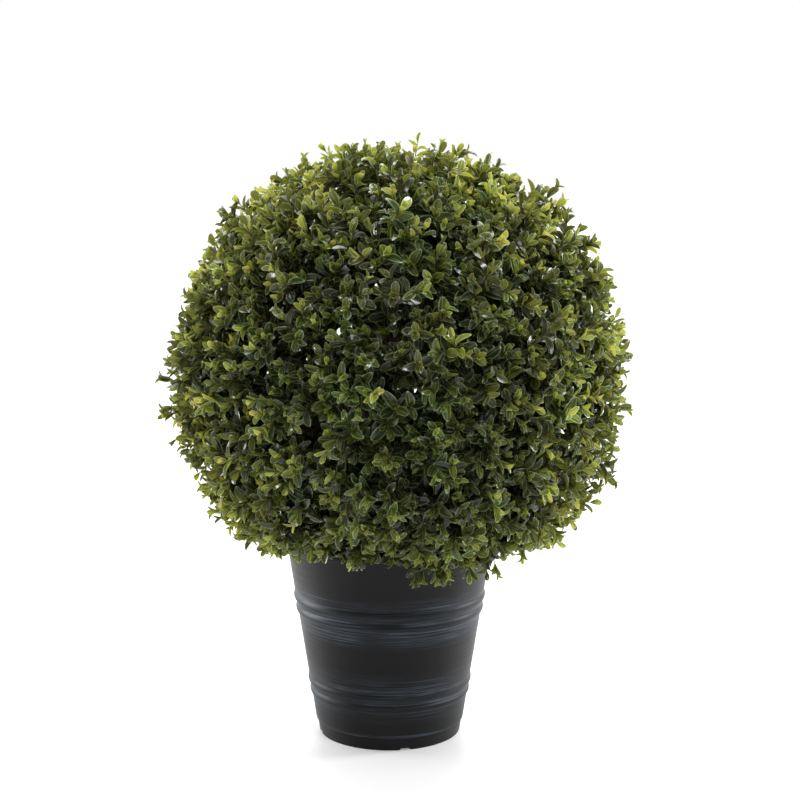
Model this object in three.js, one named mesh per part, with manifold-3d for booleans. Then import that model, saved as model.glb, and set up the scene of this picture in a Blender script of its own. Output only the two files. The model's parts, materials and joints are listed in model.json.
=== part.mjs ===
// Artificial box topiary ball: a clipped ball of moulded foliage on a short hidden stem,
// standing in a round tapered plastic pot that is weighted with a cast filling.
// Millimetres, +Z up. The origin is the centre of the pot's flat underside, and -Y is the front.
import * as THREE from "three";
import { mergeVertices } from "three/addons/utils/BufferGeometryUtils.js";
import Module from "manifold-3d";

const wasm = await Module();
wasm.setup();

// ---------------------------------------------------------------- driving dimensions

const POT = {
  height: 216,
  baseRadius: 77.2, // the wall's line carried down to the ground
  flare: 0.157, // radius gained for each mm of height
  wall: 3,
  floor: 6,
  footHeight: 14.8, // the foot is set back below this height
  footInset: 1.2,
  edgeRadius: 1, // rounding of the underside's edge
  lipHeight: 6,
  lipProud: 2,
  segments: 60,
};
// Raised beads round the wall, in two pairs.
const BEADS = [
  { z: 47, height: 11.5, proud: 1.5 },
  { z: 59, height: 12, proud: 1.6 },
  { z: 138, height: 12.5, proud: 1.9 },
  { z: 151, height: 13, proud: 2 },
];
const BEAD_STEPS = 6;
// Vent notches in the foot's lower edge.
const NOTCH = { count: 4, first: 12.7, width: 9, height: 2.2, depth: 5 };
const FILLING = { top: 100, segments: 48 };
const STEM = { footRadius: 13, topRadius: 9, flare: 4, flareHeight: 25, top: 340, segments: 20 };
const CROWN = {
  centre: new THREE.Vector3(9.7, 0, 389), // it stands a little to one side of the pot's axis
  valley: 240, // radius between the humps
  hump: 20, // the tallest hump
  humpCount: 250,
  humpWidth: 0.17, // angular half-width of a hump, in radians
  swell: 2.5, // slow unevenness of the clipped surface
  hem: 198, // height of the lower sprays, which hang past the pot's rim
  hemWave: 3.5,
  detail: 13,
  seed: 4127,
};
const GAP = 0.4; // clearance between neighbouring solids

// ---------------------------------------------------------------- helpers

// A small seeded generator, so that the crown is the same each time.
function randomFrom(seed) {
  let state = seed;
  return () => {
    state = (state * 1664525 + 1013904223) % 4294967296;
    return state / 4294967296;
  };
}

// A solid of revolution about Z, from [radius, height] pairs.
function turned(profile, segments) {
  const points = profile.map(([r, z]) => new THREE.Vector2(r, z));
  return new THREE.LatheGeometry(points, segments).rotateX(Math.PI / 2);
}

function toSolid(geometry) {
  const bare = geometry.clone();
  bare.deleteAttribute("normal");
  bare.deleteAttribute("uv");
  const merged = mergeVertices(bare, 1e-4);
  return new wasm.Manifold(
    new wasm.Mesh({
      numProp: 3,
      vertProperties: new Float32Array(merged.attributes.position.array),
      triVerts: new Uint32Array(merged.index.array),
    }),
  );
}

function toGeometry(solid) {
  const { vertProperties, triVerts } = solid.getMesh();
  const geometry = new THREE.BufferGeometry();
  geometry.setAttribute("position", new THREE.BufferAttribute(vertProperties, 3));
  geometry.setIndex(new THREE.BufferAttribute(triVerts, 1));
  geometry.computeVertexNormals();
  return geometry;
}

const wallRadius = (z) => POT.baseRadius + POT.flare * z;
const innerRadius = (z) => wallRadius(z) - POT.wall;

// ---------------------------------------------------------------- pot

function beadPoints({ z, height, proud }) {
  const points = [];
  for (let i = 0; i <= BEAD_STEPS; i++) {
    const across = i / BEAD_STEPS - 0.5;
    const swell = Math.cos(across * Math.PI) ** 1.4;
    const at = z + across * height;
    points.push([wallRadius(at) + proud * swell, at]);
  }
  return points;
}

function potProfile() {
  const { height, floor, footHeight, footInset, edgeRadius, lipHeight, lipProud, wall } = POT;
  const foot = (z) => wallRadius(z) - footInset;
  const lipBase = height - lipHeight;
  return [
    [0, 0],
    [foot(0) - edgeRadius, 0],
    [foot(0), edgeRadius],
    [foot(footHeight - 0.6), footHeight - 0.6],
    [wallRadius(footHeight), footHeight],
    ...BEADS.flatMap(beadPoints),
    [wallRadius(lipBase - 2), lipBase - 2],
    [wallRadius(lipBase) + lipProud, lipBase],
    [wallRadius(height) + lipProud, height - 1.5],
    [wallRadius(height) + lipProud - 1.5, height],
    [innerRadius(height), height],
    [innerRadius(floor + wall), floor + wall],
    [innerRadius(floor) - wall, floor],
    [0, floor],
  ];
}

function makePot() {
  let pot = toSolid(turned(potProfile(), POT.segments));
  const { count, first, width, height, depth } = NOTCH;
  const edge = wallRadius(0) - POT.footInset;
  for (let i = 0; i < count; i++) {
    const turn = THREE.MathUtils.degToRad(first + (360 / count) * i);
    const notch = new THREE.BoxGeometry(width, 2 * depth, 2 * height);
    notch.translate(0, -edge, 0).rotateZ(turn);
    pot = pot.subtract(toSolid(notch));
  }
  return toGeometry(pot);
}

function makeFilling() {
  const bottom = POT.floor + GAP;
  const chamfer = bottom + POT.wall;
  return turned(
    [
      [0, bottom],
      [innerRadius(bottom) - POT.wall - GAP, bottom],
      [innerRadius(chamfer) - GAP, chamfer],
      [innerRadius(FILLING.top) - GAP, FILLING.top],
      [0, FILLING.top],
    ],
    FILLING.segments,
  );
}

// ---------------------------------------------------------------- stem

// How far the stem has leant towards the crown's centre at a height.
const leanAt = (z) => (CROWN.centre.x * (z - FILLING.top)) / (CROWN.centre.z - FILLING.top);

function stemRadius(z) {
  const up = (z - FILLING.top) / (STEM.top - FILLING.top);
  const straight = THREE.MathUtils.lerp(STEM.footRadius, STEM.topRadius, up);
  return straight + STEM.flare * Math.exp(-(z - FILLING.top) / STEM.flareHeight);
}

// The stem's outline, widened by a clearance where it cuts its own socket.
function stemSolid(clearance) {
  const foot = FILLING.top + GAP - clearance;
  const top = STEM.top + clearance;
  const steps = 10;
  const profile = [[0, foot]];
  for (let i = 0; i <= steps; i++) {
    const z = foot + (top - 4 - foot) * (i / steps) ** 1.5;
    profile.push([stemRadius(z) + clearance, z]);
  }
  profile.push([STEM.topRadius - 3 + clearance, top], [0, top]);
  const geometry = turned(profile, STEM.segments);
  const position = geometry.attributes.position;
  for (let i = 0; i < position.count; i++) {
    position.setX(i, position.getX(i) + leanAt(position.getZ(i)));
  }
  return geometry;
}

// ---------------------------------------------------------------- crown

// Directions spread evenly over the ball and then jostled, one for each hump.
function humpDirections(random) {
  const golden = Math.PI * (3 - Math.sqrt(5));
  const humps = [];
  for (let i = 0; i < CROWN.humpCount; i++) {
    const z = 1 - (2 * i + 1) / CROWN.humpCount;
    const around = golden * i + random() * 0.25;
    const ring = Math.sqrt(1 - z * z);
    const direction = new THREE.Vector3(ring * Math.cos(around), ring * Math.sin(around), z);
    direction.x += (random() - 0.5) * 0.12;
    direction.z += (random() - 0.5) * 0.12;
    humps.push({
      direction: direction.normalize(),
      height: CROWN.hump * (0.35 + 0.65 * random()),
      width: CROWN.humpWidth * (0.8 + 0.4 * random()),
    });
  }
  return humps;
}

// The clipped surface's radius in a direction: a slow swell, with a hump over each head of sprays.
function crownRadius(direction, humps) {
  const { x, y, z } = direction;
  const swell = Math.sin(3.1 * x + 1.7 * z) + Math.sin(2.6 * y - 2.2 * z + 1);
  let rise = 0;
  for (const { direction: centre, height, width } of humps) {
    const apart = Math.acos(THREE.MathUtils.clamp(direction.dot(centre), -1, 1)) / width;
    rise = Math.max(rise, height * Math.exp(-apart * apart));
  }
  return CROWN.valley + (CROWN.swell * swell) / 2 + rise;
}

function crownShell() {
  const { centre, hem, hemWave, detail, seed } = CROWN;
  const humps = humpDirections(randomFrom(seed));
  const geometry = new THREE.IcosahedronGeometry(1, detail);
  const position = geometry.attributes.position;
  const direction = new THREE.Vector3();
  for (let i = 0; i < position.count; i++) {
    direction.fromBufferAttribute(position, i).normalize();
    const around = Math.atan2(direction.y, direction.x);
    const wave = Math.sin(7 * around) + Math.sin(11 * around + 2);
    const drop = centre.z - hem + (hemWave / 2) * wave;
    let radius = crownRadius(direction, humps);
    if (direction.z < 0) radius = Math.min(radius, -drop / direction.z);
    direction.multiplyScalar(radius).add(centre);
    position.setXYZ(i, direction.x, direction.y, direction.z);
  }
  return geometry;
}

// The ball, hollowed below for the pot's rim and mouth and for the stem.
function makeCrown() {
  const clear = wallRadius(POT.height) + POT.lipProud + 1.5;
  const below = CROWN.hem - 20;
  const above = POT.height + 2;
  const mouth = turned(
    [
      [0, below],
      [clear, below],
      [clear, above],
      [0, above],
    ],
    POT.segments,
  );
  const socket = stemSolid(GAP);
  return toGeometry(toSolid(crownShell()).subtract(toSolid(mouth)).subtract(toSolid(socket)));
}

// ---------------------------------------------------------------- the object

const part = new THREE.Group();

function addPiece(name, geometry, color, roughness) {
  const material = new THREE.MeshStandardMaterial({ color, roughness, metalness: 0 });
  const mesh = new THREE.Mesh(geometry, material);
  mesh.name = name;
  part.add(mesh);
}

addPiece("pot", makePot(), 0x1c1d20, 0.42);
addPiece("pot_filling", makeFilling(), 0x8a8781, 0.95);
addPiece("stem", stemSolid(0), 0x3a2a1c, 0.8);
addPiece("clipped_crown", makeCrown(), 0x3f5426, 0.6);

export default part;
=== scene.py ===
# Looks of an artificial box topiary ball: moulded box sprays on a hidden branching frame,
# in a brushed black plastic pot. Metres, +Z up, and -Y is the front.
import json
import math

import bpy
import numpy as np
from mathutils import Matrix, Vector

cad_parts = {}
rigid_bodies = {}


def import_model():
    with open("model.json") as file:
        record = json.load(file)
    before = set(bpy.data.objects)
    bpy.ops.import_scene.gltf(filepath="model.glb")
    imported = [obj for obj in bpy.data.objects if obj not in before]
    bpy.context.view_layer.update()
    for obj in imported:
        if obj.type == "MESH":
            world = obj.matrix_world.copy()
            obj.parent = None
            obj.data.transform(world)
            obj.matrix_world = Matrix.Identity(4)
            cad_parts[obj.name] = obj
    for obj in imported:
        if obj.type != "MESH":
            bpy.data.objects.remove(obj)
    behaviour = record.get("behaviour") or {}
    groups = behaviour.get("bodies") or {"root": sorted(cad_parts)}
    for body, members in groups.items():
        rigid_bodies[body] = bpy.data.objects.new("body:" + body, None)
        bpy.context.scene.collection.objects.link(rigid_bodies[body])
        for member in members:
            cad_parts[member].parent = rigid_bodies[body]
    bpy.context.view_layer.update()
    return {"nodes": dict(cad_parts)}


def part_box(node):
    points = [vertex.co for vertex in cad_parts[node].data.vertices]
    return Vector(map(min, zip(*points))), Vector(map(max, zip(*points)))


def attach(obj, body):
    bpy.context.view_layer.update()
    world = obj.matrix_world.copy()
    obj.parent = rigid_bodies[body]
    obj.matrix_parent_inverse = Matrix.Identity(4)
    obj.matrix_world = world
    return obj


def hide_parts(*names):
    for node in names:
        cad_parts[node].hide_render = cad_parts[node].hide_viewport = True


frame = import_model()

MM = 0.001
rng = np.random.default_rng(86)

# ---------------------------------------------------------------- sizes, from the frame

pot_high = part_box("pot")[1]
crown_low, crown_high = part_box("clipped_crown")
stem_low, stem_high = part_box("stem")

POT_HEIGHT = pot_high.z
LIP_PROUD = 2 * MM
LIP_HEIGHT = 6 * MM
FLARE = 0.157  # radius that the pot's wall gains for each metre of height
RIM_RADIUS = pot_high.x - LIP_PROUD
CROWN_RADIUS = (crown_high.x - crown_low.x) / 2
CROWN_ASIDE = 9 * MM  # the crown stands a little to the right of the pot's axis
CROWN_CENTRE = np.array([CROWN_ASIDE, (crown_low.y + crown_high.y) / 2, crown_high.z - CROWN_RADIUS])
HEM = crown_low.z  # height of the lowest sprays, which hang past the pot's rim


def wall_radius(z):
    return RIM_RADIUS - FLARE * (POT_HEIGHT - z)


# ---------------------------------------------------------------- helpers


def linear(hex_colour):
    """An sRGB hex colour as linear RGBA."""
    channels = [int(hex_colour[i:i + 2], 16) / 255 for i in (1, 3, 5)]
    values = [c / 12.92 if c <= 0.04045 else ((c + 0.055) / 1.055) ** 2.4 for c in channels]
    return (*values, 1.0)


def grey(value):
    return (value, value, value, 1.0)


def add_node(tree, kind, inputs=None, stops=None, **settings):
    """One node with its settings, a ramp's stops, and its inputs: values, or nodes or sockets to link."""
    node = tree.nodes.new(kind)
    for name, value in settings.items():
        setattr(node, name, value)
    for key, value in (inputs or {}).items():
        if isinstance(value, bpy.types.Node):
            value = value.outputs[0]
        if isinstance(value, bpy.types.NodeSocket):
            tree.links.new(value, node.inputs[key])
        else:
            node.inputs[key].default_value = value
    if stops:
        elements = node.color_ramp.elements
        while len(elements) < len(stops):
            elements.new(0.5)
        for element, (position, colour) in zip(elements, stops):
            element.position = position
            element.color = colour
    return node


def new_material(name):
    material = bpy.data.materials.new(name)
    material.use_nodes = True
    material.node_tree.nodes.clear()
    return material, material.node_tree


def add_object(name, data):
    thing = bpy.data.objects.new(name, data)
    bpy.context.scene.collection.objects.link(thing)
    return thing


def look_at(spot, target):
    """The matrix of something that stands at spot and faces target with its -Z, upright."""
    back = (spot - target).normalized()
    right = Vector((0, 0, 1)).cross(back).normalized()
    turn = Matrix((right, back.cross(right), back)).transposed().to_4x4()
    return Matrix.Translation(spot) @ turn


# ---------------------------------------------------------------- camera and studio


CAMERA_DISTANCE = 2.0
CAMERA_RISE = math.radians(9.46)  # how far above level it looks down from
CAMERA_LENS = 84.9  # mm
CAMERA_AIM = Vector((11.2 * MM, 0, 0.5605 * crown_high.z))
SOFT_BOX_AIM = Vector((0, 0, 0.35))
SOFT_BOXES = [  # name, place, width, power in watts
    ("soft_box_top", (0.3, 0.1, 2.2), 0.8, 28),
    ("soft_box_right", (2.0, 0.4, 0.7), 0.6, 54),
    ("soft_box_left", (-2.0, 0.6, 0.4), 0.9, 46),
    ("soft_box_front", (0.9, -1.7, 1.8), 0.25, 20),
]
FLOOR_REACH = 8.0  # from the middle to each side
BRIGHTEST = (-0.15, 0.98, 0.1)  # where most of the studio's light comes from: behind, a little left


def add_camera():
    """From the front, a little above the ball's middle, with a long lens."""
    spot = CAMERA_AIM + CAMERA_DISTANCE * Vector((0, -math.cos(CAMERA_RISE), math.sin(CAMERA_RISE)))
    data = bpy.data.cameras.new("camera")
    data.lens = CAMERA_LENS
    camera = add_object("camera", data)
    camera.matrix_world = look_at(spot, CAMERA_AIM)
    bpy.context.scene.camera = camera


def add_soft_box(name, spot, width, power):
    """A square soft box that faces the middle of the plant."""
    data = bpy.data.lights.new(name, "AREA")
    data.shape = "SQUARE"
    data.size = width
    data.energy = power
    light = add_object(name, data)
    light.matrix_world = look_at(Vector(spot), SOFT_BOX_AIM)


def floor_material():
    """Opal acrylic, cast with a matt face and lit from below: an even white that still takes a
    faint contact shadow."""
    material, tree = new_material("opal_acrylic_white")
    speckle = add_node(tree, "ShaderNodeTexNoise", {
        "Vector": add_node(tree, "ShaderNodeTexCoord").outputs["Object"], "Scale": 1 / (3 * MM),
    })
    tint = add_node(tree, "ShaderNodeValToRGB", {"Fac": speckle},
                    stops=[(0.3, linear("#cacaca")), (0.7, linear("#cecece"))])
    board = add_node(tree, "ShaderNodeBsdfPrincipled", {
        "Base Color": tint, "Roughness": 0.5, "Specular IOR Level": 0.2,
        "Emission Color": grey(1.0), "Emission Strength": 0.24,
    })
    add_node(tree, "ShaderNodeOutputMaterial", {"Surface": board})
    return material


def add_floor():
    corners = [(FLOOR_REACH * x, FLOOR_REACH * y, 0) for x, y in ((-1, -1), (1, -1), (1, 1), (-1, 1))]
    mesh = bpy.data.meshes.new("floor")
    mesh.from_pydata(corners, [], [(0, 1, 2, 3)])
    mesh.materials.append(floor_material())
    add_object("floor", mesh)


def add_world():
    """An even white studio, brightest behind and to the left, so that the plant is lit round its
    edges and the side towards the camera stays dark."""
    world = bpy.data.worlds.new("studio")
    bpy.context.scene.world = world
    world.use_nodes = True
    tree = world.node_tree
    tree.nodes.clear()
    direction = add_node(tree, "ShaderNodeTexCoord").outputs["Generated"]
    towards = add_node(tree, "ShaderNodeVectorMath", {0: direction, 1: BRIGHTEST},
                       operation="DOT_PRODUCT")
    share = add_node(tree, "ShaderNodeMath", {0: towards.outputs["Value"], 1: 0.5, 2: 0.5},
                     operation="MULTIPLY_ADD")
    light = add_node(tree, "ShaderNodeValToRGB", {"Fac": share},
                     stops=[(0.0, grey(0.04)), (0.5, grey(0.44)), (1.0, grey(4.4))])
    lit = add_node(tree, "ShaderNodeBackground", {"Color": light})
    seen = add_node(tree, "ShaderNodeBackground", {"Color": grey(1.0)})
    ray = add_node(tree, "ShaderNodeLightPath")
    both = add_node(tree, "ShaderNodeMixShader", {0: ray, 1: lit, 2: seen})
    add_node(tree, "ShaderNodeOutputWorld", {"Surface": both})


# ---------------------------------------------------------------- materials


def leaf_material(name, face, rim_and_highlight, glow):
    """Polyethylene, injection moulded with a polished face: a soft gloss with small sharp lights, a paler
    rib, a pale rim and tip that are partly the thin moulded edge and partly a painted highlight where the
    edge catches light, and light that glows through from behind."""
    material, tree = new_material(name)
    uv = add_node(tree, "ShaderNodeUVMap", uv_map="UVMap")
    split = add_node(tree, "ShaderNodeSeparateXYZ", {"Vector": uv})
    # 0 on the rib, 1 on the leaf's edge.
    signed = add_node(tree, "ShaderNodeMath", {0: split.outputs["X"], 1: 2.0, 2: -1.0},
                      operation="MULTIPLY_ADD")
    across = add_node(tree, "ShaderNodeMath", {0: signed}, operation="ABSOLUTE")
    # The pale rim and tip: partly the moulding's paler edge, partly a painted highlight along the edge.
    side = add_node(tree, "ShaderNodeValToRGB", {"Fac": across},
                    stops=[(0.03, grey(0.6)), (0.12, grey(0.0)), (0.80, grey(0.0)), (0.88, grey(1.0))])
    tip = add_node(tree, "ShaderNodeValToRGB", {"Fac": split.outputs["Y"]},
                   stops=[(0.93, grey(0.0)), (0.97, grey(1.0))])
    pale_rim_and_highlight = add_node(tree, "ShaderNodeMath", {0: side, 1: tip}, operation="MAXIMUM")
    base = add_node(tree, "ShaderNodeMix", {0: pale_rim_and_highlight, 6: linear(face), 7: linear(rim_and_highlight)}, data_type="RGBA")
    # The dye varies from one moulding batch of sprays to the next, over about 40 mm.
    batch = add_node(tree, "ShaderNodeTexNoise", {
        "Vector": add_node(tree, "ShaderNodeTexCoord").outputs["Object"],
        "Scale": 1 / (40 * MM), "Detail": 1.0,
    })
    dye = add_node(tree, "ShaderNodeValToRGB", {"Fac": batch},
                   stops=[(0.32, linear("#e3d6dc")), (0.68, linear("#f0feea"))])
    dyed = add_node(tree, "ShaderNodeMix", {0: 1.0, 6: base.outputs[2], 7: dye},
                    data_type="RGBA", blend_type="MULTIPLY")
    gloss = add_node(tree, "ShaderNodeBsdfPrincipled", {
        "Base Color": dyed.outputs[2], "Roughness": 0.23, "IOR": 1.5,
    })
    through = add_node(tree, "ShaderNodeBsdfTranslucent", {"Color": linear(glow)})
    both = add_node(tree, "ShaderNodeMixShader", {0: 0.32, 1: gloss, 2: through})
    add_node(tree, "ShaderNodeOutputMaterial", {"Surface": both})
    return material


def stalk_material():
    """Polyethylene stalks, moulded in dark olive brown: thin and slightly shiny."""
    material, tree = new_material("moulded_stalk_brown")
    mottle = add_node(tree, "ShaderNodeTexNoise", {
        "Vector": add_node(tree, "ShaderNodeTexCoord").outputs["Object"],
        "Scale": 1 / (12 * MM), "Detail": 2.0,
    })
    colour = add_node(tree, "ShaderNodeValToRGB", {"Fac": mottle},
                      stops=[(0.35, linear("#362918")), (0.65, linear("#5a4a28"))])
    body = add_node(tree, "ShaderNodeBsdfPrincipled", {"Base Color": colour, "Roughness": 0.5})
    add_node(tree, "ShaderNodeOutputMaterial", {"Surface": body})
    return material


def bark_material():
    """Polyethylene stem and boughs, moulded with bark grain: dull brown, darker in the grooves."""
    material, tree = new_material("moulded_bark_plastic")
    place = add_node(tree, "ShaderNodeMapping", {
        "Vector": add_node(tree, "ShaderNodeTexCoord").outputs["Object"], "Scale": (1, 1, 0.18),
    })
    grain = add_node(tree, "ShaderNodeTexNoise", {
        "Vector": place, "Scale": 1 / (4 * MM), "Detail": 3.0,
    })
    colour = add_node(tree, "ShaderNodeValToRGB", {"Fac": grain},
                      stops=[(0.35, linear("#1d150d")), (0.62, linear("#4b3824"))])
    rough = add_node(tree, "ShaderNodeValToRGB", {"Fac": grain},
                     stops=[(0.3, grey(0.75)), (0.7, grey(0.55))])
    bump = add_node(tree, "ShaderNodeBump", {
        "Height": grain, "Strength": 0.6, "Distance": 0.6 * MM,
    })
    body = add_node(tree, "ShaderNodeBsdfPrincipled", {
        "Base Color": colour, "Roughness": rough, "Normal": bump,
    })
    add_node(tree, "ShaderNodeOutputMaterial", {"Surface": body})
    return material


def mortar_material():
    """Cement mortar, poured and left rough: dull grey with sand grains and a few darker stones."""
    material, tree = new_material("cast_mortar_grey")
    place = add_node(tree, "ShaderNodeTexCoord").outputs["Object"]
    sand = add_node(tree, "ShaderNodeTexNoise", {
        "Vector": place, "Scale": 1 / (1.5 * MM), "Detail": 4.0,
    })
    stones = add_node(tree, "ShaderNodeTexVoronoi", {"Vector": place, "Scale": 1 / (7 * MM)})
    both = add_node(tree, "ShaderNodeMath", {0: stones, 1: 0.4, 2: sand}, operation="MULTIPLY_ADD")
    colour = add_node(tree, "ShaderNodeValToRGB", {"Fac": both},
                      stops=[(0.3, linear("#5a564f")), (0.9, linear("#8e8a82"))])
    bump = add_node(tree, "ShaderNodeBump", {"Height": both, "Strength": 0.8, "Distance": 1 * MM})
    body = add_node(tree, "ShaderNodeBsdfPrincipled", {
        "Base Color": colour, "Roughness": 0.95, "Normal": bump,
    })
    add_node(tree, "ShaderNodeOutputMaterial", {"Surface": body})
    return material


def pot_material():
    """Polypropylene, injection moulded with a satin face in black, then dry-brushed round each pair
    of beads with a thin blue-grey paint: fine level strokes, broken up and strongest in the grooves.
    The bands also hold painted highlights: brighter lines at the bead edges and grooves, and a thin
    painted highlight along the foot's ledge."""
    material, tree = new_material("satin_polypropylene_brushed")
    place = add_node(tree, "ShaderNodeTexCoord").outputs["Object"]
    height = add_node(tree, "ShaderNodeSeparateXYZ", {"Vector": place}).outputs["Z"]
    # Strokes are long and level, so the pattern is drawn out round the pot and tight up it.
    stroke_length, stroke_height = 100 * MM, 1.1 * MM
    drawn = add_node(tree, "ShaderNodeMapping", {
        "Vector": place, "Scale": (1 / stroke_length, 1 / stroke_length, 1 / stroke_height),
    })
    strokes = add_node(tree, "ShaderNodeTexNoise", {
        "Vector": drawn, "Scale": 1.0, "Detail": 3.0, "Roughness": 0.65,
    })
    hairs = add_node(tree, "ShaderNodeValToRGB", {"Fac": strokes},
                     stops=[(0.47, grey(0.05)), (0.64, grey(1.0))])
    # How much blue-grey shows at each height, as a share of the pot's height: the brush's paint, with
    # painted highlight lines at the bead edges and grooves where the slopes catch light, and a painted
    # highlight on the foot's ledge in the lowest stops.
    share = add_node(tree, "ShaderNodeMath", {0: height, 1: 1 / POT_HEIGHT}, operation="MULTIPLY")
    low_beads_and_ledge_highlight = add_node(tree, "ShaderNodeValToRGB", {"Fac": share}, stops=[
        # The first four stops are a painted highlight along the foot's ledge, not paint.
        (0.062, grey(0.0)), (0.067, grey(1.0)), (0.074, grey(1.0)), (0.082, grey(0.0)),
        (0.13, grey(0.0)), (0.19, grey(0.35)), (0.215, grey(0.1)), (0.245, grey(0.9)),
        (0.275, grey(0.1)), (0.30, grey(0.7)), (0.34, grey(0.3)), (0.41, grey(0.0)),
    ])
    high_beads_paint_and_highlights = add_node(tree, "ShaderNodeValToRGB", {"Fac": share}, stops=[
        (0.52, grey(0.0)), (0.58, grey(0.6)), (0.62, grey(0.8)), (0.64, grey(0.1)),
        (0.67, grey(1.0)), (0.705, grey(0.1)), (0.735, grey(0.6)), (0.80, grey(0.0)),
    ])
    paint_and_highlight_zones = add_node(tree, "ShaderNodeMath", {0: low_beads_and_ledge_highlight, 1: high_beads_paint_and_highlights}, operation="ADD")
    patches = add_node(tree, "ShaderNodeTexNoise", {
        "Vector": add_node(tree, "ShaderNodeMapping", {"Vector": place, "Scale": (1, 1, 4)}),
        "Scale": 1 / (55 * MM), "Detail": 2.0,
    })
    worn = add_node(tree, "ShaderNodeValToRGB", {"Fac": patches},
                    stops=[(0.36, grey(0.25)), (0.62, grey(1.0))])
    laid = add_node(tree, "ShaderNodeMath", {0: paint_and_highlight_zones, 1: worn}, operation="MULTIPLY")
    cover = add_node(tree, "ShaderNodeMath", {0: laid, 1: hairs}, operation="MULTIPLY")
    colour = add_node(tree, "ShaderNodeMix", {0: cover, 6: linear("#0c0c0e"), 7: linear("#54606c")},
                      data_type="RGBA")
    rough = add_node(tree, "ShaderNodeValToRGB", {"Fac": strokes},
                     stops=[(0.3, grey(0.40)), (0.7, grey(0.52))])
    bump = add_node(tree, "ShaderNodeBump", {
        "Height": strokes, "Strength": 0.2, "Distance": 0.15 * MM,
    })
    body = add_node(tree, "ShaderNodeBsdfPrincipled", {
        "Base Color": colour.outputs[2], "Roughness": rough, "Normal": bump, "IOR": 1.49,
        "Specular IOR Level": 0.17,
    })
    add_node(tree, "ShaderNodeOutputMaterial", {"Surface": body})
    return material


# ---------------------------------------------------------------- pot

FOOT_HEIGHT = 14.8 * MM
FOOT_INSET = 1.2 * MM
FOOT_EDGE = 1 * MM  # rounding of the underside's edge
WALL = 3 * MM
POT_FLOOR = 6 * MM
POT_SEGMENTS = 180
# Raised beads round the wall, in mm: middle, height, and how proud they stand.
BEADS = [(47, 11.5, 1.5), (59, 12, 1.6), (138, 12.5, 1.9), (151, 13, 2.0)]
BEAD_STEPS = 14
# Vent notches in the foot's lower edge, a quarter of a turn apart.
NOTCH_FIRST = math.radians(12.7 - 90)
NOTCH_HALF_WIDTH = 4.5 * MM
NOTCH_HEIGHT = 2.2 * MM


def pot_profile():
    """[radius, height] pairs from the underside's middle, up the wall and down inside."""
    foot = wall_radius(0) - FOOT_INSET
    points = [(0, 0), (foot - 6 * MM, 0), (foot - FOOT_EDGE, 0), (foot - 0.3 * MM, 0.3 * MM)]
    points += [(foot, FOOT_EDGE), (wall_radius(FOOT_HEIGHT - 1 * MM) - FOOT_INSET, FOOT_HEIGHT - 1 * MM)]
    for step in range(4):  # the ledge over the foot, rounded over
        turn = step / 3 * math.pi / 2
        z = FOOT_HEIGHT - 0.4 * MM + 1.0 * MM * (1 - math.cos(turn))
        points.append((wall_radius(z) - FOOT_INSET * (1 - math.sin(turn)), z))
    for middle, tall, proud in BEADS:
        for i in range(BEAD_STEPS + 1):
            across = i / BEAD_STEPS - 0.5
            z = (middle + across * tall) * MM
            points.append((wall_radius(z) + proud * MM * math.cos(across * math.pi) ** 1.4, z))
    lip = POT_HEIGHT - LIP_HEIGHT
    points.append((wall_radius(lip - 3 * MM), lip - 3 * MM))
    for step in range(5):  # the rolled lip
        turn = step / 4 * math.pi
        out = LIP_PROUD * math.sin(turn / 2 + math.pi / 4)
        points.append((wall_radius(lip) + out, lip + step * 1.25 * MM))
    points += [(RIM_RADIUS + LIP_PROUD - 1 * MM, POT_HEIGHT), (RIM_RADIUS - WALL, POT_HEIGHT)]
    points.append((wall_radius(POT_FLOOR + WALL) - WALL, POT_FLOOR + WALL))
    points += [(wall_radius(POT_FLOOR) - 2 * WALL, POT_FLOOR), (0, POT_FLOOR)]
    return points


def turned_mesh(name, profile, segments):
    """A closed solid of revolution about Z, from a profile that starts and ends on the axis."""
    rings = profile[1:-1]
    angles = [2 * math.pi * i / segments for i in range(segments)]
    vertices = [(r * math.cos(a), r * math.sin(a), z) for r, z in rings for a in angles]
    bottom, top = len(vertices), len(vertices) + 1
    vertices += [(0, 0, profile[0][1]), (0, 0, profile[-1][1])]
    faces = []
    for ring in range(len(rings) - 1):
        for i in range(segments):
            j = (i + 1) % segments
            low, high = ring * segments, (ring + 1) * segments
            faces.append((low + i, low + j, high + j, high + i))
    last = (len(rings) - 1) * segments
    for i in range(segments):
        j = (i + 1) % segments
        faces.append((bottom, j, i))
        faces.append((top, last + i, last + j))
    mesh = bpy.data.meshes.new(name)
    mesh.from_pydata(vertices, [], faces)
    mesh.shade_smooth()
    return mesh


def add_pot():
    mesh = turned_mesh("pot_shell", pot_profile(), POT_SEGMENTS)
    # The vent notches: the foot's lowest, outermost points are lifted a little at four places.
    edge = wall_radius(0) - FOOT_INSET
    for vertex in mesh.vertices:
        x, y, z = vertex.co
        if z < 1.1 * FOOT_EDGE and math.hypot(x, y) > edge - 2 * FOOT_EDGE:
            apart = (math.atan2(y, x) - NOTCH_FIRST + math.pi / 4) % (math.pi / 2) - math.pi / 4
            if abs(apart) * edge < NOTCH_HALF_WIDTH:
                vertex.co.z += NOTCH_HEIGHT
    mesh.materials.append(pot_material())
    mesh.set_sharp_from_angle(angle=math.radians(50))
    pot = add_object("pot_shell", mesh)
    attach(pot, "root")
    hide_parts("pot")


def dress_filling():
    """The filling keeps its CAD mesh, in its own material."""
    materials = frame["nodes"]["pot_filling"].data.materials
    materials.clear()
    materials.append(mortar_material())


# ---------------------------------------------------------------- growth
# A limb is a quadratic curve kept as three points: where it starts, its bend, and its end.

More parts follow.
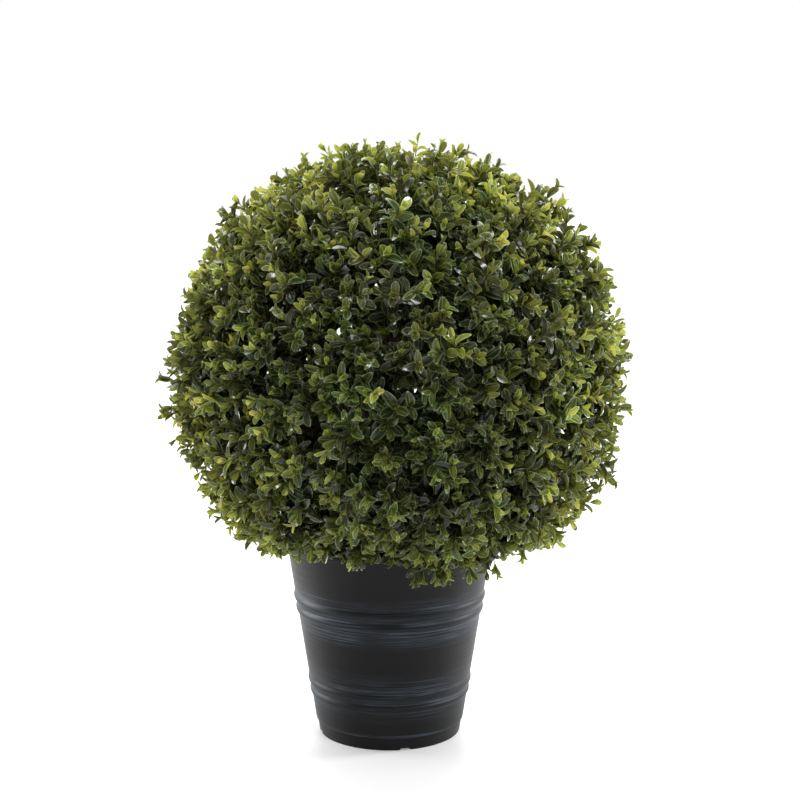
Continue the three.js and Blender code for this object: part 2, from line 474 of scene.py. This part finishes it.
# Each level of limbs: how many aim round the ball, how far they are jostled from an even spread, how
# far they reach as a share of the ball's radius, and how far above the hem the lowest end.
BOUGHS = (22, 0.12, 0.42, 40 * MM)
BRANCHES = (96, 0.15, 0.60, 34 * MM)
BRANCHLETS = (330, 0.2, 0.74, 28 * MM)
LOWEST_BOUGH = -0.75  # a bough that aimed lower would run back down the stem
BOUGH_SAG = 8 * MM
BEND = 0.45  # share of its length that a limb keeps to its parent's heading
# How far the clipped underside climbs for each metre outwards at the front: its mean, and how much
# more at the front's left and less at its right.
HEM_CLIMB = 0.22
HEM_CLIMB_ASIDE = 0.08

TWIGS = 2850
TWIG_JOSTLE = 0.33
CLUMPING = 0.16  # how far a twig's aim is drawn towards its branchlet's
TWIG_REACH = 0.925  # the clipped shell, as a share of the ball's radius, and so are the next three
CLUMP_SWELL = 0.008  # how unevenly the clumps stand out
RECESS = 0.068  # how unevenly the twigs end within the shell
OUTGROWTH = (0.01, 0.055)  # least and most that a stray twig stands out
STRAYS = 0.22  # share of the twigs that are strays
HEM_TWIGS = 110
LONG_HEM = (math.radians(296), math.radians(30))  # where some hem twigs hang longer: middle, half-width
LONG_SHARE = 0.6  # share of the twigs there that do


def unit(vectors):
    return vectors / np.linalg.norm(vectors, axis=-1, keepdims=True)


def along(limbs, share):
    """The point at a share of the way along each limb."""
    s = np.asarray(share)[..., None]
    return (1 - s) ** 2 * limbs[:, 0] + 2 * s * (1 - s) * limbs[:, 1] + s ** 2 * limbs[:, 2]


def heading(limbs, share):
    """Each limb's direction at a share of the way along it."""
    s = np.asarray(share)[..., None]
    return unit((1 - s) * (limbs[:, 1] - limbs[:, 0]) + s * (limbs[:, 2] - limbs[:, 1]))


def even_directions(count, jostle):
    """Directions spread evenly over the ball, each jostled by a share of their spacing."""
    turn = np.arange(count) + 0.5
    z = 1 - 2 * turn / count
    around = turn * math.pi * (3 - math.sqrt(5))
    ring = np.sqrt(1 - z * z)
    even = np.stack([ring * np.cos(around), ring * np.sin(around), z], axis=1)
    return unit(even + rng.normal(size=even.shape) * jostle * math.sqrt(4 * math.pi / count))


def hem_rise(directions):
    """How far the clipped underside climbs for each metre outwards: it rises towards the front,
    and most at the front's left, where the pot's wall shows almost up to the rim."""
    front = np.maximum(-directions[:, 1], 0)
    return front * (HEM_CLIMB - HEM_CLIMB_ASIDE * np.tanh(directions[:, 0] / 0.15))


def clipped_ends(directions, radius, lift):
    """Where limbs in these directions end: on the ball, or on its clipped underside, which stands
    lift above the hem outside the pot's rim and above the pot's mouth within it."""
    falling = np.maximum(-directions[:, 2] + hem_rise(directions), 1e-6)
    to_hem = (CROWN_CENTRE[2] - HEM - lift) / falling
    ends = CROWN_CENTRE + directions * np.minimum(radius, to_hem)[:, None]
    over_pot = np.hypot(ends[:, 0], ends[:, 1]) < RIM_RADIUS + 6 * MM
    to_mouth = (CROWN_CENTRE[2] - POT_HEIGHT - lift - 8 * MM) / np.maximum(-directions[:, 2], 1e-6)
    reach = np.where(over_pot, np.minimum(to_hem, to_mouth), to_hem)
    return CROWN_CENTRE + directions * np.minimum(radius, reach)[:, None]


def clear_of_pot(points):
    """Pushes out what would stand in the pot's rim or wall."""
    clear = RIM_RADIUS + LIP_PROUD + 5 * MM
    flat = np.hypot(points[..., 0], points[..., 1])
    low = (points[..., 2] < POT_HEIGHT + 4 * MM) & (flat < clear)
    push = np.where(low, clear / np.maximum(flat, 1 * MM), 1.0)
    return points * np.stack([push, push, np.ones_like(push)], axis=-1)


def grow_from(parents, ends, fork_from, stray):
    """One limb to each end, forking from the parent that points nearest to it. It leaves along the
    parent's own heading and bends towards its end. Returns the limbs and each one's parent."""
    aims = unit(ends - CROWN_CENTRE)
    parent_aims = unit(parents[:, 2] - CROWN_CENTRE)
    parent = np.argmax(aims @ parent_aims.T, axis=1)
    share = rng.uniform(fork_from, 1.0, len(ends))
    starts = along(parents[parent], share)
    lengths = np.linalg.norm(ends - starts, axis=1, keepdims=True)
    bends = starts + heading(parents[parent], share) * lengths * BEND
    bends += rng.normal(size=bends.shape) * stray * lengths
    return np.stack([starts, bends, ends], axis=1), parent


def stem_axis(z):
    """The leaning stem's middle at a height."""
    lean = CROWN_CENTRE[0] / (CROWN_CENTRE[2] - stem_low.z)
    return np.stack([lean * (z - stem_low.z), 0 * z, z], axis=-1)


def level_ends(level):
    """Where the limbs of a level end, all over the ball."""
    count, jostle, reach, lift = level
    return clipped_ends(even_directions(count, jostle), reach * CROWN_RADIUS, lift)


def grow_frame():
    """Boughs from the stem, then branches and branchlets, each level from the one before it."""
    count, jostle, reach, lift = BOUGHS
    aims = even_directions(count, jostle)
    aims = aims[aims[:, 2] > LOWEST_BOUGH]
    # The lower a bough aims, the lower it leaves the stem.
    heights = stem_high.z - (12 + 85 * (1 - aims[:, 2]) / 2) * MM
    starts = stem_axis(heights)
    ends = clipped_ends(aims, reach * CROWN_RADIUS, lift)
    bends = starts + (ends - starts) / 2 - np.array([0, 0, BOUGH_SAG])
    boughs = np.stack([starts, bends, ends], axis=1)
    branches, _ = grow_from(boughs, level_ends(BRANCHES), fork_from=0.75, stray=0.05)
    branchlets, _ = grow_from(branches, level_ends(BRANCHLETS), fork_from=0.6, stray=0.06)
    return boughs, branches, branchlets


def grow_twigs(branchlets):
    """The twigs that carry leaves: an even clipped shell, gathered a little into clumps, and a
    fringe that hangs over the pot's rim. Returns the twigs and each one's branchlet."""
    aims = even_directions(TWIGS, TWIG_JOSTLE)
    parent_aims = unit(branchlets[:, 2] - CROWN_CENTRE)
    nearest = np.argmax(aims @ parent_aims.T, axis=1)
    aims = unit(aims + CLUMPING * (parent_aims[nearest] - aims))
    clump = rng.normal(size=len(branchlets)) * CLUMP_SWELL
    recess = np.abs(rng.normal(size=TWIGS)) * RECESS
    stray = np.where(rng.random(TWIGS) < STRAYS, rng.uniform(*OUTGROWTH, TWIGS), 0)
    radius = CROWN_RADIUS * (TWIG_REACH + clump[nearest] - recess + stray)
    ends = clipped_ends(aims, radius, rng.uniform(4, 22, TWIGS) * MM)
    shell, parent = grow_from(branchlets, ends, fork_from=0.45, stray=0.15)

    around = np.linspace(0, 2 * math.pi, HEM_TWIGS, endpoint=False) + rng.normal(size=HEM_TWIGS) * 0.03
    # From the front's middle round to the right, some of them hang longer.
    middle, half_width = LONG_HEM
    longer = (np.abs(around - middle) < half_width) & (rng.random(HEM_TWIGS) < LONG_SHARE)
    out = np.stack([np.cos(around), np.sin(around), 0 * around], axis=1)
    up = np.array([0, 0, 1.0])
    root = RIM_RADIUS + rng.uniform(-18, 6, HEM_TWIGS)[:, None] * MM
    brow = RIM_RADIUS + rng.uniform(10, 20, HEM_TWIGS)[:, None] * MM
    end = RIM_RADIUS + rng.uniform(9, 26, HEM_TWIGS)[:, None] * MM
    # The others end higher towards the front, as the clipped underside does.
    rise = 4 + 15 * np.clip(-1.4 * np.sin(around), 0, 1) + rng.uniform(4, 16, HEM_TWIGS)
    drop = np.where(longer, rng.uniform(0, 12, HEM_TWIGS), rise)[:, None] * MM
    fringe = np.stack([
        out * root + up * (POT_HEIGHT + 24 * MM),
        out * brow + up * (POT_HEIGHT + 14 * MM),
        out * end + up * (HEM + drop),
    ], axis=1)
    hem_parent = np.argmax(unit(fringe[:, 0] - CROWN_CENTRE) @ parent_aims.T, axis=1)
    twigs = clear_of_pot(np.concatenate([shell, fringe]))
    return twigs, np.concatenate([parent, hem_parent])


# ---------------------------------------------------------------- geometry nodes


def new_tree(name, sockets):
    """A geometry nodes tree with named inputs, and its input node."""
    tree = bpy.data.node_groups.new(name, "GeometryNodeTree")
    tree.interface.new_socket("Geometry", in_out="INPUT", socket_type="NodeSocketGeometry")
    for socket, kind, value in sockets:
        made = tree.interface.new_socket(socket, in_out="INPUT", socket_type=kind)
        if value is not None:
            made.default_value = value
    tree.interface.new_socket("Geometry", in_out="OUTPUT", socket_type="NodeSocketGeometry")
    return tree, tree.nodes.new("NodeGroupInput").outputs


def finish_tree(tree, geometry, material):
    """Every tree ends alike: realized, with its material."""
    real = add_node(tree, "GeometryNodeRealizeInstances", {"Geometry": geometry})
    dressed = add_node(tree, "GeometryNodeSetMaterial", {"Geometry": real, "Material": material})
    add_node(tree, "NodeGroupOutput", {"Geometry": dressed})


def grown_piece(name, seed_mesh, tree, values):
    """What a tree grows on a seed mesh, as a plain mesh piece that rides on the root body."""
    seed = add_object(name + "_seed", seed_mesh)
    modifier = seed.modifiers.new("growth", "NODES")
    modifier.node_group = tree
    for item in tree.interface.items_tree:
        if item.in_out == "INPUT" and item.name in values:
            modifier[item.identifier] = values[item.name]
    depsgraph = bpy.context.evaluated_depsgraph_get()
    mesh = bpy.data.meshes.new_from_object(
        seed.evaluated_get(depsgraph), preserve_all_data_layers=True, depsgraph=depsgraph
    )
    bpy.data.objects.remove(seed)
    mesh.name = name
    piece = add_object(name, mesh)
    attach(piece, "root")
    return piece


def limb_tree():
    """Round limbs along the seed's edges, as thick as its girth says."""
    tree, given = new_tree("round_limbs", [
        ("Sides", "NodeSocketInt", 5),
        ("Material", "NodeSocketMaterial", None),
    ])
    paths = add_node(tree, "GeometryNodeMeshToCurve", {"Mesh": given["Geometry"]})
    section = add_node(tree, "GeometryNodeCurvePrimitiveCircle", {
        "Resolution": given["Sides"], "Radius": 1.0,
    })
    girth = add_node(tree, "GeometryNodeInputNamedAttribute", {"Name": "girth"})
    tubes = add_node(tree, "GeometryNodeCurveToMesh", {
        "Curve": paths, "Profile Curve": section, "Scale": girth, "Fill Caps": True,
    })
    smooth = add_node(tree, "GeometryNodeSetShadeSmooth", {"Geometry": tubes})
    finish_tree(tree, smooth, given["Material"])
    return tree


def leaf_tree():
    """A leaf on each of the seed's points, turned and sized as the point says."""
    tree, given = new_tree("dealt_leaves", [
        ("Leaves", "NodeSocketCollection", None),
        ("Leaf shapes", "NodeSocketInt", 1),
        ("Leaf length", "NodeSocketFloat", 0.02),
        ("Leaf width", "NodeSocketFloat", 0.01),
        ("Size spread", "NodeSocketFloat", 0.1),
        ("Seed", "NodeSocketInt", 0),
        ("Material", "NodeSocketMaterial", None),
    ])
    shapes = add_node(tree, "GeometryNodeCollectionInfo", {
        "Collection": given["Leaves"], "Separate Children": True, "Reset Children": True,
    })
    last = add_node(tree, "ShaderNodeMath", {0: given["Leaf shapes"], 1: 1.0}, operation="SUBTRACT")
    which = add_node(tree, "FunctionNodeRandomValue", {4: 0, 5: last, "Seed": given["Seed"]},
                     data_type="INT")
    turn = add_node(tree, "GeometryNodeInputNamedAttribute", {"Name": "turn"}, data_type="QUATERNION")
    size = add_node(tree, "GeometryNodeInputNamedAttribute", {"Name": "size"})
    least = add_node(tree, "ShaderNodeMath", {0: 1.0, 1: given["Size spread"]}, operation="SUBTRACT")
    most = add_node(tree, "ShaderNodeMath", {0: 1.0, 1: given["Size spread"]}, operation="ADD")
    spread = add_node(tree, "FunctionNodeRandomValue", {2: least, 3: most, "Seed": given["Seed"]},
                      data_type="FLOAT")
    amount = add_node(tree, "ShaderNodeMath", {0: size, 1: spread.outputs[1]}, operation="MULTIPLY")
    leaf = add_node(tree, "ShaderNodeCombineXYZ", {
        "X": given["Leaf width"], "Y": given["Leaf length"], "Z": given["Leaf length"],
    })
    scale = add_node(tree, "ShaderNodeVectorMath", {0: leaf, "Scale": amount}, operation="SCALE")
    dealt = add_node(tree, "GeometryNodeInstanceOnPoints", {
        "Points": given["Geometry"], "Instance": shapes, "Pick Instance": True,
        "Instance Index": which.outputs[2], "Rotation": turn, "Scale": scale,
    })
    finish_tree(tree, dealt, given["Material"])
    return tree


# ---------------------------------------------------------------- limbs


def limb_seed(name, groups):
    """Edge chains along limbs with a girth at each point. A group is limbs, steps, and girths at
    its foot and its end."""
    points, edges, girths = [], [], []
    for limbs, steps, foot, end in groups:
        shares = np.linspace(0, 1, steps + 1)
        rows = np.stack([along(limbs, np.full(len(limbs), s)) for s in shares], axis=1)
        base = sum(len(p) for p in points)
        index = base + np.arange(len(limbs) * (steps + 1)).reshape(len(limbs), steps + 1)
        points.append(rows.reshape(-1, 3))
        edges.append(np.stack([index[:, :-1], index[:, 1:]], axis=-1).reshape(-1, 2))
        girths.append(np.tile(foot + (end - foot) * shares, len(limbs)))
    mesh = bpy.data.meshes.new(name)
    mesh.from_pydata(np.concatenate(points).tolist(), np.concatenate(edges).tolist(), [])
    girth = mesh.attributes.new("girth", "FLOAT", "POINT")
    girth.data.foreach_set("value", np.concatenate(girths).astype(np.float32))
    return mesh


STEM_FOOT_RADIUS = 13 * MM
STEM_TOP_RADIUS = 9 * MM
STEM_FLARE = 4 * MM
STEM_FLARE_HEIGHT = 25 * MM
BARK_RELIEF = 0.9 * MM
BARK_DEPTH = 1.4 * MM  # how far the grooves lie within the stem's own radius


def stem_radius(z):
    up = (z - stem_low.z) / (stem_high.z - stem_low.z)
    straight = STEM_FOOT_RADIUS + (STEM_TOP_RADIUS - STEM_FOOT_RADIUS) * up
    return straight + STEM_FLARE * math.exp(-(z - stem_low.z) / STEM_FLARE_HEIGHT)


def add_stem(bark):
    """The stem, with the relief of bark: ridges that run up it and wander."""
    around, rows = 72, 90
    vertices = []
    for row in range(rows + 1):
        z = stem_low.z + (stem_high.z - stem_low.z) * row / rows
        middle = stem_axis(np.array(z))
        for i in range(around):
            a = 2 * math.pi * i / around
            wander = 0.5 * math.sin(z / (31 * MM) + 2 * a) + 0.3 * math.sin(z / (13 * MM) - 3 * a)
            ridge = abs(math.sin(4.5 * a + wander)) ** 0.7 + 0.4 * abs(math.sin(11 * a - 2 * wander))
            r = stem_radius(z) - BARK_DEPTH + BARK_RELIEF * ridge
            vertices.append((middle[0] + r * math.cos(a), middle[1] + r * math.sin(a), z))
    faces = [tuple(reversed(range(around)))]
    for row in range(rows):
        for i in range(around):
            j = (i + 1) % around
            low, high = row * around, (row + 1) * around
            faces.append((low + i, low + j, high + j, high + i))
    faces.append(tuple(range(rows * around, (rows + 1) * around)))
    mesh = bpy.data.meshes.new("bark_stem")
    mesh.from_pydata(vertices, [], faces)
    mesh.shade_smooth()
    mesh.materials.append(bark)
    stem = add_object("bark_stem", mesh)
    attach(stem, "root")
    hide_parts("stem")


# ---------------------------------------------------------------- leaves

LEAF_LENGTH = 18.5 * MM
LEAF_WIDTH = 9 * MM
LEAF_SPREAD = 0.1  # leaves differ this much in size, beyond what their twig and place give
# Share of the way up the leaf, and half-width there as a share of the leaf's width.
LEAF_OUTLINE = [
    (0.0, 0.06), (0.13, 0.18), (0.36, 0.41), (0.60, 0.50), (0.80, 0.46), (0.94, 0.29), (1.0, 0.1),
]
LEAF_SHAPES = [  # fold along the rib, backward curl, twist, and how far the tip runs on
    (0.90, 0.16, 0.10, 0.0),
    (1.15, 0.34, -0.12, -0.03),
    (0.66, 0.06, 0.0, 0.01),
    (1.00, 0.52, 0.05, -0.02),
    (0.78, -0.08, -0.06, -0.03),
]
FOLD_OPENS = 0.45  # share of its fold that a leaf has lost by its tip


def leaf_mesh(name, fold, curl, twist, point):
    """One unit leaf, 1 long and 1 wide, along +Y with its face up: two halves folded on a rib, the
    fold opening out towards a blunt tip."""
    vertices, uvs = [], []
    for up, half in LEAF_OUTLINE:
        back = -curl * up ** 2.5
        turn = twist * up
        rib_up = up + (point if up == 1.0 else 0)
        for side in (-1, 0, 1):
            x = side * half
            z = back + fold * (1 - FOLD_OPENS * up) * abs(x) * 0.5 + turn * x
            vertices.append((x, rib_up if side == 0 else up, z))
            uvs.append((0.5 + 0.5 * side, up))
    faces = []
    for row in range(len(LEAF_OUTLINE) - 1):
        a, b = 3 * row, 3 * (row + 1)
        faces += [(a, a + 1, b + 1, b), (a + 1, a + 2, b + 2, b + 1)]
    mesh = bpy.data.meshes.new(name)
    mesh.from_pydata(vertices, [], faces)
    layer = mesh.uv_layers.new(name="UVMap")
    for loop in mesh.loops:
        layer.data[loop.index].uv = uvs[loop.vertex_index]
    mesh.shade_smooth()
    for edge in mesh.edges:
        edge.use_edge_sharp = all(v % 3 == 1 for v in edge.vertices)
    return mesh


def leaf_collection():
    group = bpy.data.collections.new("leaf_shapes")
    for i, shape in enumerate(LEAF_SHAPES):
        name = f"leaf_shape_{i}"
        group.objects.link(bpy.data.objects.new(name, leaf_mesh(name, *shape)))
    return group


# Pairs of leaves down a twig from its tip: distance from the tip (mm), lean from the twig's own
# heading (degrees), and size.
PAIRS = [
    (0.0, 15, 0.62), (6.0, 32, 0.88), (13.5, 45, 1.0), (22.0, 54, 1.0), (31.0, 61, 1.08),
    (41.0, 66, 1.1),
]
LEAN_SPREAD = 8  # degrees
TURN_SPREAD = 0.14  # radians round the twig
ROLL_SPREAD = 0.22  # radians about the leaf's own rib
LOST_LEAVES = 0.03
VIGOUR = 0.35  # share of a twig's freshness that comes from its branchlet; the rest is its own
AGEING_AND_SHADE = 0.17  # freshness lost from each pair to the next one down: partly age, partly painted shade for pairs deeper in the ball


def deal_leaves(twigs, branchlet, vigour):
    """Every leaf's foot, turn, size and freshness, which falls down each twig partly as painted shade.
    Pairs stand crosswise to the pair before.
    """
    count = len(twigs)
    length = np.linalg.norm(twigs[:, 2] - twigs[:, 0], axis=1)
    first_turn = rng.uniform(0, 2 * math.pi, count)
    twig_size = rng.uniform(0.84, 1.12, count)
    fresh_twig = VIGOUR * vigour[branchlet] + (1 - VIGOUR) * rng.random(count)
    feet, turns, sizes, fresh_and_lit = [], [], [], []
    for number, (distance, lean, size) in enumerate(PAIRS):
        share = 1 - distance * MM * rng.uniform(0.88, 1.12, count) / length
        bearing = share > 0.1
        share = np.clip(share, 0, 1)
        foot = along(twigs, share)
        forward = heading(twigs, share)
        side = unit(np.cross(forward, np.array([0.31, -0.22, 0.93])))
        other = np.cross(forward, side)
        for half in (0, 1):
            angle = first_turn + number * math.pi / 2 + half * math.pi
            angle = angle + rng.normal(size=count) * TURN_SPREAD
            out = side * np.cos(angle)[:, None] + other * np.sin(angle)[:, None]
            tilt = np.radians(lean + rng.normal(size=count) * LEAN_SPREAD)[:, None]
            blade = np.cos(tilt) * forward + np.sin(tilt) * out
            face = np.sin(tilt) * forward - np.cos(tilt) * out
            roll = rng.normal(size=count)[:, None] * ROLL_SPREAD
            cross = np.cross(blade, face)
            face = np.cos(roll) * face + np.sin(roll) * cross
            cross = np.cross(blade, face)
            keep = bearing & outside_pot(foot, blade, size * twig_size * LEAF_LENGTH)
            keep &= rng.random(count) > LOST_LEAVES
            feet.append(foot[keep])
            turns.append(np.stack([cross, blade, face], axis=-1)[keep])
            sizes.append((size * twig_size)[keep])
            # Lower pairs lose freshness: partly age, partly painted shade, as they sit deeper in the
            # ball.
            fresh_and_lit.append((fresh_twig - AGEING_AND_SHADE * number + rng.normal(size=count) * 0.07)[keep])
    return tuple(np.concatenate(part) for part in (feet, turns, sizes, fresh_and_lit))


def outside_pot(feet, blades, lengths):
    """True for a leaf whose foot, middle and tip all stand clear of the pot."""
    clear = np.ones(len(feet), bool)
    for share in (0.0, 0.55, 1.0):
        point = feet + blades * (share * lengths)[:, None]
        flat = np.hypot(point[:, 0], point[:, 1])
        inside = (point[:, 2] < POT_HEIGHT + 2 * MM) & (flat < wall_radius(point[:, 2]) + 3 * MM)
        clear &= ~inside
    return clear


def leaf_seed(name, feet, turns, sizes):
    mesh = bpy.data.meshes.new(name)
    mesh.from_pydata(feet.tolist(), [], [])
    quaternions = np.array([Matrix(turn.tolist()).to_quaternion() for turn in turns])
    turn = mesh.attributes.new("turn", "QUATERNION", "POINT")
    turn.data.foreach_set("value", quaternions.astype(np.float32).ravel())
    size = mesh.attributes.new("size", "FLOAT", "POINT")
    size.data.foreach_set("value", sizes.astype(np.float32))
    return mesh


# Kinds of leaf by freshness, from the tips inwards. The inner kinds have darker faces and glows, partly
# their own older tone and partly painted shade deep in the ball: name, least freshness, face, rim with
# its painted edge highlight, glow.
LEAF_KINDS = [
    ("yellow_tip", 0.73, "#6b7e3b", "#dce0b0", "#d4ce5c"),
    ("fresh_green", 0.48, "#435e26", "#c4ce9a", "#b4b746"),
    ("mid_green", 0.14, "#2b3d1d", "#a2ae7a", "#7e8032"),
    ("deep_green", -math.inf, "#1a2515", "#808c62", "#5e6028"),
]
MOST_LEAVES = 7500  # in one piece, which keeps it well under 200,000 triangles


def add_leaves(twigs, branchlet, branchlet_count):
    vigour = rng.random(branchlet_count)
    feet, turns, sizes, fresh_and_lit = deal_leaves(twigs, branchlet, vigour)
    tree = leaf_tree()
    shapes = leaf_collection()
    upper = math.inf
    seed = 0
    for name, least, face, rim_and_highlight, glow in LEAF_KINDS:
        chosen = np.flatnonzero((fresh_and_lit > least) & (fresh_and_lit <= upper))
        upper = least
        material = leaf_material("moulded_leaf_" + name, face, rim_and_highlight, glow)
        batches = np.array_split(chosen, math.ceil(len(chosen) / MOST_LEAVES))
        for number, batch in enumerate(batches, 1):
            seed += 1
            piece_name = f"leaves_{name}_{number}"
            mesh = leaf_seed(piece_name, feet[batch], turns[batch], sizes[batch])
            grown_piece(piece_name, mesh, tree, {
                "Leaves": shapes, "Leaf shapes": len(LEAF_SHAPES), "Leaf length": LEAF_LENGTH,
                "Leaf width": LEAF_WIDTH, "Size spread": LEAF_SPREAD, "Seed": seed, "Material": material,
            })
    for thing in list(shapes.objects):
        bpy.data.objects.remove(thing)
    bpy.data.collections.remove(shapes)


def add_crown(bark):
    boughs, branches, branchlets = grow_frame()
    twigs, branchlet = grow_twigs(branchlets)
    tree = limb_tree()
    frame_seed = limb_seed("boughs", [
        (boughs, 8, 5.0 * MM, 3.4 * MM), (branches, 6, 2.8 * MM, 2.0 * MM),
    ])
    grown_piece("boughs", frame_seed, tree, {
        "Sides": 8, "Material": bark,
    })
    twig_seed = limb_seed("twigs", [
        (branchlets, 4, 1.6 * MM, 1.1 * MM), (twigs, 4, 0.95 * MM, 0.5 * MM),
    ])
    twig_piece = grown_piece("twigs", twig_seed, tree, {
        "Sides": 4, "Material": stalk_material(),
    })
    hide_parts("clipped_crown")
    add_leaves(twigs, branchlet, len(branchlets))


# ---------------------------------------------------------------- the scene

add_camera()
add_world()
add_floor()
for soft_box in SOFT_BOXES:
    add_soft_box(*soft_box)
bpy.context.scene.view_settings.view_transform = "Standard"

add_pot()
dress_filling()
bark = bark_material()
add_stem(bark)
add_crown(bark)
